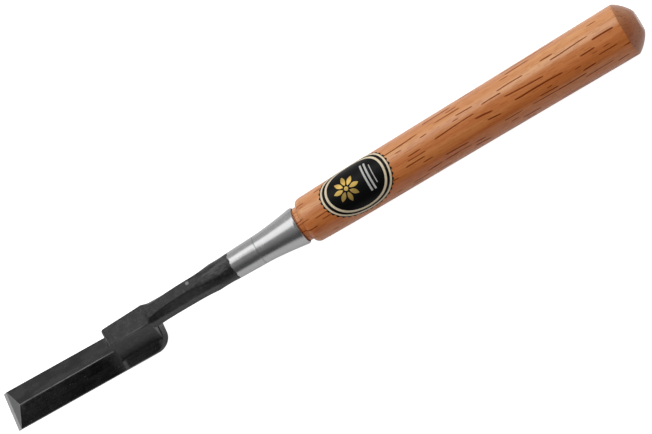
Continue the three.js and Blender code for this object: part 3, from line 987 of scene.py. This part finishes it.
def make_label(black, cream, gold, white):
    """The black oval with its cream rings, and a plain ornament: a rosette and three bars."""
    edge = oval(LABEL_HALF_LENGTH, LABEL_HALF_ARC, 480, SCALLOP_DEPTH / LABEL_HALF_ARC)
    rows = [edge * share for share in np.linspace(0.02, 1, 30)]
    film("label_ground", rows, 0, black, "label_foil", "label")
    for name, (length, width) in CREAM_RINGS.items():
        arc_half = length * LABEL_HALF_ARC / LABEL_HALF_LENGTH
        outer = oval(length, arc_half)
        inner = oval(length - width, arc_half - width)
        film(name, [outer, (outer + inner) / 2, inner], 1, cream, "label_foil")
    for i in range(PETALS):
        turn = 2 * math.pi * i / PETALS
        way = np.array([math.cos(turn), math.sin(turn)])
        root, tip = (ROSETTE_MIDDLE + way * reach for reach in PETAL_REACH)
        petal = strip(root, tip, PETAL_HALF_WIDTH, 20, taper=0.96)
        film(f"label_petal_{i + 1}", petal, 1, gold, "label_foil")
    heart = oval(HEART_RADIUS, HEART_RADIUS, 48)
    film("label_petal_heart", [heart * t + ROSETTE_MIDDLE for t in (0.05, 1)], 1, gold, "label_foil")
    for i, (u, reach, half) in enumerate(BARS):
        film(f"label_bar_{i + 1}", strip((u, -reach), (u, reach), half, 30), 1, white, "label_foil")


# ---- Floor, light and sky ----------------------------------------------------------------------


FLOOR_SIZE = 8.0
FLOOR_BELOW = 0.0002  # it lies this far under the tool, so that nothing touches it
FLOOR_GLOW = 0.95
FLOOR_GLOW_MIRRORED = 0.38  # what reflections see of it, near the tool
LIGHT_HEIGHT = 10.0
LIGHT_STRENGTH = 1.26  # radiance
REAR_LIGHT_STRENGTH = 2.2
# Each light's ends are sines along x, its edges degrees from overhead towards +Y: a large one in front
# of +Y, a narrower one overhead towards the cutting edge, and one over the butt.
LIGHTS = {
    "big_light": ((-0.75, 0.45), (9.0, 40.0), LIGHT_STRENGTH),
    "top_light": ((-0.75, -0.20), (-6.5, 9.0), LIGHT_STRENGTH),
    "rear_light": ((-0.14, 0.20), (9.0, 25.0), REAR_LIGHT_STRENGTH),
}
# (share of the way from -Y to +Y, tone of the room there)
SKY_TONES = ((0.0, 0.11), (0.11, 0.13), (0.17, 0.27), (0.45, 0.52), (0.60, 0.66), (1.0, 0.68))


def make_floor():
    """A pale table. The camera and reflections see it lit from below, so that shadows stay faint."""
    bpy.ops.mesh.primitive_plane_add(size=FLOOR_SIZE, location=(0, 0, -FLOOR_BELOW))
    floor = bpy.context.object
    floor.name = "floor"
    material, nodes, mm = new_material("pale_floor", Matrix.Identity(4))
    tone = nodes.noise(mm, scale=0.01, detail=2, roughness=0.5)
    base = nodes.ramp(tone, [(0.3, (0.63, 0.63, 0.63)), (0.7, (0.65, 0.65, 0.65))])
    path = nodes.add("ShaderNodeLightPath").outputs
    near = nodes.band(nodes.split(mm)[1], -260, -110)
    mirrored = nodes.product(path["Is Glossy Ray"], near, FLOOR_GLOW_MIRRORED)
    glow = nodes.total(nodes.product(path["Is Camera Ray"], FLOOR_GLOW), mirrored)
    finish_material(
        nodes, Base_Color=base, Roughness=0.9, Specular_IOR_Level=0.1, Emission_Color=(1, 1, 1, 1),
        Emission_Strength=glow,
    )
    floor.data.materials.append(material)


def make_light(name, ends, edges, strength):
    """A rectangular soft light in the plane LIGHT_HEIGHT above the floor."""
    x_low, x_high = (LIGHT_HEIGHT * end / math.sqrt(1 - end * end) for end in ends)
    y_low, y_high = (LIGHT_HEIGHT * math.tan(math.radians(edge)) for edge in edges)
    light = bpy.data.lights.new(name, "AREA")
    light.shape = "RECTANGLE"
    light.size, light.size_y = x_high - x_low, y_high - y_low
    light.energy = strength * math.pi * light.size * light.size_y
    lamp = bpy.data.objects.new(name, light)
    lamp.location = ((x_low + x_high) / 2, (y_low + y_high) / 2, LIGHT_HEIGHT)
    bpy.context.scene.collection.objects.link(lamp)


def make_sky():
    """Room light: paler over +Y, darker low over -Y and towards both ends, and dark straight overhead."""
    world = bpy.data.worlds.new("room")
    bpy.context.scene.world = world
    world.use_nodes = True
    nodes = Nodes(world.node_tree)
    x, y, _ = nodes.split(nodes.add("ShaderNodeTexCoord").outputs["Generated"])
    colour = nodes.ramp(nodes.remap(y, -1, 1, 0, 1), [(p, (t, t, t)) for p, t in SKY_TONES])
    ends = nodes.band(nodes.distance(x), 0.45, 0.85)
    overhead = nodes.product(
        nodes.band(nodes.distance(y, -0.09), 0.27, 0.21), nodes.band(x, -0.21, -0.16),
        nodes.band(x, 0.36, 0.26),
    )
    strength = nodes.difference(1.0, nodes.strongest((ends, 0.4), (overhead, 0.9)))
    sky = nodes.add("ShaderNodeBackground", {"Color": colour, "Strength": strength})
    nodes.add("ShaderNodeOutputWorld", {"Surface": sky.outputs[0]})


# ---- The scene ---------------------------------------------------------------------------------

bpy.context.scene.view_settings.view_transform = "Standard"
make_camera()
make_floor()
for light_name, (light_ends, light_edges, light_strength) in LIGHTS.items():
    make_light(light_name, light_ends, light_edges, light_strength)
make_sky()

make_cutting_steel(hard_steel())
make_blade_iron(black_ground())
make_neck(forge_scale())
bright = turned_steel()
make_bolster(bright)
make_ferrule(bright)
make_handle(red_oak())
make_label(
    printed_film("black_film", (0.0022, 0.0022, 0.0026), 0.34, gloss=0.13),
    printed_film("cream_ink", (0.95, 0.80, 0.56), 0.30),
    printed_film("gold_ink", (0.60, 0.40, 0.10), 0.30, 0.7),
    printed_film("white_ink", (0.62, 0.62, 0.60), 0.35),
)
